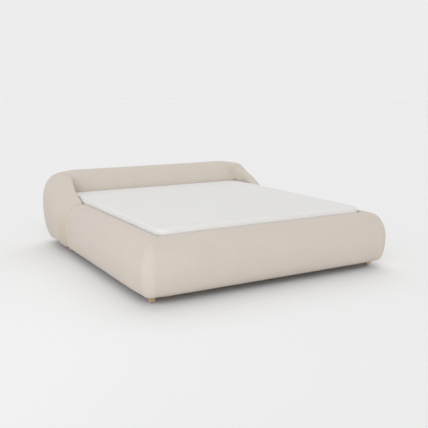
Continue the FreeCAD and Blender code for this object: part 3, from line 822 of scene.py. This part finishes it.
# %% Build the rings from the seam to the middle
WING_RINGS, TURN_RINGS = 24, 24
NEAR_CORNER, NEAR_RINGS, FAR_RINGS = 0.11, 34, 46    # closer together where the folds are
right_wing = []
wing_paths = list(np.linspace(WING_END_SIDE[0], corner_start, WING_RINGS)[1:])
for path in eased_distances(WING_END_SIDE[0], 10) + wing_paths:
    crest_depth, side_depth = rounding(path, *WING_END_TOP), rounding(path, *WING_END_SIDE)
    section = drawn_in(swept_section(path, 0), crest_depth, side_depth)
    right_wing.append(wing_ring(path, section, crest_depth * END_SETBACK))
for angle in np.linspace(0, math.pi / 2, TURN_RINGS)[1:]:
    path = corner_start + corner_length * angle / (math.pi / 2)
    section = swept_section(path, (1 - math.cos(2 * angle)) / 2)
    right_wing.append(head_corner_ring(angle, section, path))
head_path = corner_start + corner_length
near_corner = np.linspace(0, NEAR_CORNER, NEAR_RINGS)[1:]
for share in np.concatenate([near_corner, np.linspace(NEAR_CORNER, 1, FAR_RINGS)[1:]]):
    right_wing.append(head_ring(head_path + face_x * share, share))

headboard_rings = both_halves(right_wing)
print("headboard cover:", headboard_rings.shape[0], "rings of", headboard_rings.shape[1], "points")

# %% Build the headboard cover
def painted_wing_shade(x, y, z):
    """Painted shade: a fine dark line along the seam that broadens lower down, where the wing rolls
    in deeper, and darker bands in the folds of the inside corners."""
    from_seam = y - seam_y
    line = np.exp(-(from_seam / SEAM_WIDTH) ** 2)
    roll_in = np.exp(-(from_seam / ROLL_IN_WIDTH) ** 4) * (1 - eased(z, ROLL_IN_TOP, rail_crest))
    from_corner = face_x - np.abs(x)
    folds = sum(FOLD_SHADE * np.exp(-((from_corner - at) / width) ** 2) for at, _, width in FOLDS)
    on_roll = (y > head_y - SHADE_MARGIN) & (y < head_y + head_section.roll)
    inside = on_roll & (np.abs(x) < face_x)
    low = 1 - eased(z, head_crest - SHADE_FADE[0], head_crest - SHADE_FADE[1])
    return np.clip(np.maximum(line, SEAM_SHADE * roll_in) + folds * inside * low, 0, 1)


# Painted shade for each point of the headboard cover, carried into the cloth's colour.
headboard_painted_shade = painted_wing_shade(*np.moveaxis(headboard_rings, 2, 0))
headboard_cover = skin("headboard_cover", headboard_rings, headboard_painted_shade, cloth.material)
blow_up(headboard_cover, held_on_skin(headboard_cover, headboard_rings), COVER_CAP)

# %% [markdown]
# ## Mattress and topper
# Both are soft blocks with rounded corners. A cube with a Bevel would give the outline, but
# no points on its top for quilting, and no groove where the tape edge is sewn on. So their
# plan is a grid whose corner squares are squeezed onto quarter discs, and their sides are
# rings that follow a sewn profile: a rolled rim, a stitched groove, a band.

# %% A rounded plan
def plan_grid(half_x, half_y, radius, count_x, count_y):
    """Grid points of a rounded rectangle, rows by columns by 2."""
    xs = np.linspace(-half_x, half_x, count_x)
    ys = np.linspace(-half_y, half_y, count_y)
    x, y = np.meshgrid(xs, ys)
    dx = np.clip((np.abs(x) - (half_x - radius)) / radius, 0, 1)
    dy = np.clip((np.abs(y) - (half_y - radius)) / radius, 0, 1)
    both = (dx > 0) & (dy > 0)
    nx = np.where(both, half_x - radius + radius * dx * np.sqrt(1 - dy * dy / 2), np.abs(x))
    ny = np.where(both, half_y - radius + radius * dy * np.sqrt(1 - dx * dx / 2), np.abs(y))
    return np.dstack([np.sign(x) * nx, np.sign(y) * ny])


def rim_indices(rows, columns):
    """Grid indices round the edge, anticlockwise seen from above."""
    bottom = [(0, c) for c in range(columns - 1)]
    right = [(r, columns - 1) for r in range(rows - 1)]
    top = [(rows - 1, c) for c in range(columns - 1, 0, -1)]
    left = [(r, 0) for r in range(rows - 1, 0, -1)]
    return bottom + right + top + left


# %% A soft block
SQUEEZE_FROM, SQUEEZE_TO = 0.5, 0.1    # distances from the head end


def soft_block(name, low, high, corner, rim, profile, step, top_shape, finish, squeeze=0.0):
    """Closed block: a shaped top grid, sides along the profile, and a flat bottom grid. rim is
    how far the sides stand out from the grid, and squeeze is the share by which the block is
    narrower at its head end, between the wings."""
    centre = (low + high) / 2
    half_x, half_y = (high.x - low.x) / 2 - rim, (high.y - low.y) / 2 - rim
    columns, rows = round(2 * half_x / step) + 1, round(2 * half_y / step) + 1
    plan = plan_grid(half_x, half_y, corner - rim, columns, rows)
    edge = rim_indices(rows, columns)
    rim_points = np.array([plan[r, c] for r, c in edge])
    ahead, behind = np.roll(rim_points, -1, axis=0), np.roll(rim_points, 1, axis=0)
    tangent = ahead - behind
    outward = np.column_stack([tangent[:, 1], -tangent[:, 0]])
    outward /= np.linalg.norm(outward, axis=1)[:, None]
    index = np.arange(rows * columns).reshape(rows, columns)
    top = np.column_stack([plan.reshape(-1, 2), top_shape(plan.reshape(-1, 2), half_x, half_y)])
    bottom = np.column_stack([plan.reshape(-1, 2), np.full(rows * columns, low.z - high.z)])
    rings = []
    for out, height in profile:
        flat = rim_points + outward * out
        rings.append(np.column_stack([flat, np.full(len(flat), height)]))
    points = np.vstack([top, bottom] + rings)
    at_head = eased(points[:, 1], half_y - SQUEEZE_FROM, half_y - SQUEEZE_TO)
    points[:, 0] *= 1 - squeeze * at_head
    points += (centre.x, centre.y, high.z)
    count = rows * columns
    faces = []
    for r in range(rows - 1):
        for c in range(columns - 1):
            a, b, d, e = index[r, c], index[r, c + 1], index[r + 1, c + 1], index[r + 1, c]
            faces.append((a, b, d, e))
            faces.append((count + e, count + d, count + b, count + a))
    loops = [[index[r, c] for r, c in edge]]
    for k in range(len(profile)):
        first = 2 * count + k * len(edge)
        loops.append(list(range(first, first + len(edge))))
    loops.append([count + index[r, c] for r, c in edge])
    for upper, lower in zip(loops, loops[1:]):
        for i in range(len(edge)):
            n = (i + 1) % len(edge)
            faces.append((upper[i], lower[i], lower[n], upper[n]))
    uvs = [tuple(points[v, :2]) for face in faces for v in face]
    return mesh_piece(name, points, faces, uvs, finish)


# %% [markdown]
# ### The topper
# A thin foam mattress in a quilted cover. Its stitches cross in diamonds and pull it down a
# couple of millimetres; between them it rises in flat pillows. A bump in the finish would not
# change its outline, so the quilting moves real points. Its sides widen downwards until they
# nearly touch the rails, with a sewn line below the rim.

# %% Shape the topper
QUILT_CELL = 0.115
TOP_DROP, QUILT_RISE, RIM_WIDTH = 0.0030, 0.0020, 0.10


def quilting(x, y):
    """Height of the quilted pillows: 0 along the stitches, 1 in the middle of a pillow."""
    across, along = (x + y) / QUILT_CELL, (x - y) / QUILT_CELL
    return np.abs(np.sin(math.pi * across) * np.sin(math.pi * along)) ** 0.5


def quilted_top(plan, half_x, half_y):
    """Heights of the quilted top, which lies a little lower than its rim."""
    x, y = plan.T
    inside_rim = eased(np.minimum(half_x - np.abs(x), half_y - np.abs(y)), 0, RIM_WIDTH)
    wave = 0.0012 * np.sin(x * 5.1 + 1.0) * np.sin(y * 4.3 + 0.4)    # foam never lies quite flat
    return (-TOP_DROP + QUILT_RISE * quilting(x, y) + wave) * inside_rim


# A profile point is how far out from the grid's edge it lies, and how high above the block's
# top: the rounded rim, the sewn line, and the side that widens and then turns under.
TOPPER_PROFILE = [(0.0060, -0.0004), (0.0115, -0.0018), (0.0158, -0.0042), (0.0186, -0.0072),
                  (0.0196, -0.0100), (0.0190, -0.0118), (0.0200, -0.0138), (0.0218, -0.0170),
                  (0.0232, -0.0215), (0.0242, -0.0280), (0.0252, -0.0360), (0.0252, -0.0440),
                  (0.0240, -0.0510), (0.0205, -0.0560), (0.0110, -0.0590)]

# %% Build the topper
TOPPER_FREE = [(-0.010, 0.0095), (0.0150, 0.0530)]    # its top and rim, and its side band
STITCHED_BELOW = 0.35
PLAN_CORNER, PLAN_RIM = 0.075, 0.024
topper = soft_block("topper_cushion", topper_low, topper_high, PLAN_CORNER, PLAN_RIM,
                    TOPPER_PROFILE, step=0.016, top_shape=quilted_top,
                    finish=topper_cover.material, squeeze=0.012)
topper_middle = (topper_low + topper_high) / 2


def sewn_down(x, y):
    return quilting(x - topper_middle.x, y - topper_middle.y) < STITCHED_BELOW


topper_held = held_on_block(topper, topper_high, TOPPER_FREE, sewn_down)
blow_up(topper, topper_held, BLOCK_CAP, pressure=8.0)

# %% [markdown]
# ### The mattress
# A sprung mattress shows only where the topper has been lifted off. It has a tape edge at the
# top and at the bottom, each a rounded bead above or below a narrow groove, and a side that
# stands nearly straight between them. Its springs push back hard, so it hardly swells.

# %% Shape the mattress
HOLLOW_CELL, HOLLOW_DEPTH = 0.18, 0.0015


def plain_top(plan, half_x, half_y):
    """Barely visible hollows over the springs."""
    x, y = plan.T
    hollow = (np.sin(math.pi * x / HOLLOW_CELL) * np.sin(math.pi * y / HOLLOW_CELL)) ** 2
    return -HOLLOW_DEPTH * hollow


# From the top: the upper bead and its groove, the side, the lower groove and its bead.
MATTRESS_PROFILE = [(0.008, -0.0006), (0.015, -0.0032), (0.0205, -0.0090), (0.0225, -0.0140),
                    (0.0195, -0.0175), (0.0165, -0.0195), (0.0195, -0.0215), (0.0222, -0.0290),
                    (0.0236, -0.0500), (0.0240, -0.0800), (0.0240, -0.1050), (0.0240, -0.1300),
                    (0.0236, -0.1600), (0.0222, -0.1810), (0.0195, -0.1885), (0.0165, -0.1905),
                    (0.0195, -0.1925), (0.0225, -0.1960), (0.0205, -0.2010), (0.0150, -0.2068),
                    (0.0080, -0.2094)]

# %% Build the mattress
MATTRESS_FREE = [(-0.010, 0.0135), (0.0225, 0.1870)]    # its top and bead, and its side
mattress = soft_block("sprung_mattress", bed_low, bed_high, PLAN_CORNER, PLAN_RIM,
                      MATTRESS_PROFILE, step=0.022, top_shape=plain_top,
                      finish=mattress_cover.material)


def not_sewn(x, y):
    return np.zeros(len(x), bool)


mattress_held = held_on_block(mattress, bed_high, MATTRESS_FREE, not_sewn)
blow_up(mattress, mattress_held, BLOCK_CAP, pressure=0.1)

SOFT_PIECES = [
    (rail_cover, "bed_frame", "upholstery", 0.8,
     ["foot_rail_pad", "side_rail_pad_left", "side_rail_pad_right"]),
    (headboard_cover, "bed_frame", "upholstery", 0.8,
     ["headboard_pad", "wing_pad_left", "wing_pad_right"]),
    (mattress, "mattress", "mattress_cover", 0.9, ["mattress"]),
    (topper, "topper", "topper_cover", 0.7, ["topper"]),
]
for piece, body, slot, fill, nodes in SOFT_PIECES:
    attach(piece, body)
    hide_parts(*nodes)
    print(piece.name, "rides on", body, "and stands for", ", ".join(nodes))

# %% [markdown]
# ## Studio
# The bed stands on a pale seamless floor. A real studio bends one sheet of paper up behind the
# bed; here the floor is a flat sheet that runs far out, and the world beyond it is as bright
# as the lit paper, so no horizon shows. The world also stands for the walls, which light the
# bed from all round, and for a dark ceiling.

# %% Lay the floor
BACKDROP, WALL, CEILING, PAPER = 0.847, 0.785, 0.22, 0.856
FLOOR_REACH = 150.0


def studio_floor():
    mesh = bpy.data.meshes.new("studio_floor")
    far = FLOOR_REACH
    corners = [(-far, -far, 0), (far, -far, 0), (far, far, 0), (-far, far, 0)]
    mesh.from_pydata(corners, [], [(0, 1, 2, 3)])
    floor = bpy.data.objects.new("studio_floor", mesh)
    bpy.context.scene.collection.objects.link(floor)
    paper = Finish("studio_paper", Roughness=1.0, Specular_IOR_Level=0.0,
                   Base_Color=rgb(PAPER, PAPER, PAPER))
    mesh.materials.append(paper.material)
    return floor


floor = studio_floor()
print(floor.name, "reaches", FLOOR_REACH, "m each way")

# %% Raise the walls
world = bpy.data.worlds.new("studio_light")
bpy.context.scene.world = world
world.use_nodes = True
room = Tree(world.node_tree)
# The height of the direction looked in: 0 at the horizon, 1 straight up.
upward = room.split(room.node("ShaderNodeTexCoord", output="Generated"))[2]
brightness = upward.smooth(0.16, 0.28, BACKDROP, WALL) * upward.smooth(0.62, 0.80, 1.0, CEILING)
background = world.node_tree.nodes["Background"]
room.plug(background.inputs["Color"], rgb(1, 1, 1))
room.plug(background.inputs["Strength"], brightness)
print(world.name, "has", len(room.nodes), "nodes")

# %% [markdown]
# ## Lamps
# A soft key comes from high behind the bed on the right, so that its shadow falls towards the
# viewer, and two more lamps fill the near sides: one high in front, one low beside the left
# rail. The first two are suns with a wide angle: they light the whole bed evenly, as big
# softboxes far away do, where nearer lamps would leave bright patches on the floor.

# %% Hang the lamps
def lamp(name, kind, strength, place, towards, **settings):
    """A lamp at a place, facing a point."""
    light = bpy.data.lights.new(name, kind)
    light.energy = strength
    for key, value in settings.items():
        setattr(light, key, value)
    holder = bpy.data.objects.new(name, light)
    bpy.context.scene.collection.objects.link(holder)
    holder.location = place
    holder.rotation_euler = (Vector(place) - Vector(towards)).to_track_quat("Z", "Y").to_euler()
    holder.visible_camera = False


lamp("key_from_behind", "SUN", 1.16, (1.4, 2.15, 4.4), (0, 0, 0), angle=math.radians(62))
lamp("front_fill", "SUN", 1.09, (-2.2, -3.7, 2.65), (0, 0, 0), angle=math.radians(64))
lamp("side_softbox", "AREA", 5.0, (-3.9, -2.5, 0.9), (0, 0.3, 0.25), shape="DISK", size=2.4,
     spread=math.radians(80))
print(len(bpy.data.lights), "lamps")

# %% [markdown]
# ## Camera
# The bed is seen from beyond its left foot corner, a little below standing eye height, through
# a lens a little longer than normal, which keeps the near corner from looking too big. A
# small shift of the lens places the bed in the frame without turning the camera, as one does
# for furniture, so that upright edges stay nearly upright.

# %% Camera
YAW, PITCH = math.radians(31.004), math.radians(9.700)
camera = bpy.data.cameras.new("camera")
camera.sensor_width, camera.lens = 36.0, 55.6856
camera.shift_x, camera.shift_y = -0.0616, -0.0185
camera.clip_end = 400.0
viewpoint = bpy.data.objects.new("camera", camera)
bpy.context.scene.collection.objects.link(viewpoint)
viewpoint.location = (-2.6814, -5.1326, 1.4075)
viewpoint.rotation_euler = (math.pi / 2 - PITCH, 0.0, -YAW)
bpy.context.scene.camera = viewpoint
bpy.context.scene.view_settings.view_transform = "Standard"
bpy.context.scene.cycles.diffuse_bounces = 12    # light finds its way into the inside corners
print("camera at", viewpoint.location.to_tuple(2), "with a", round(camera.lens, 1), "mm lens")
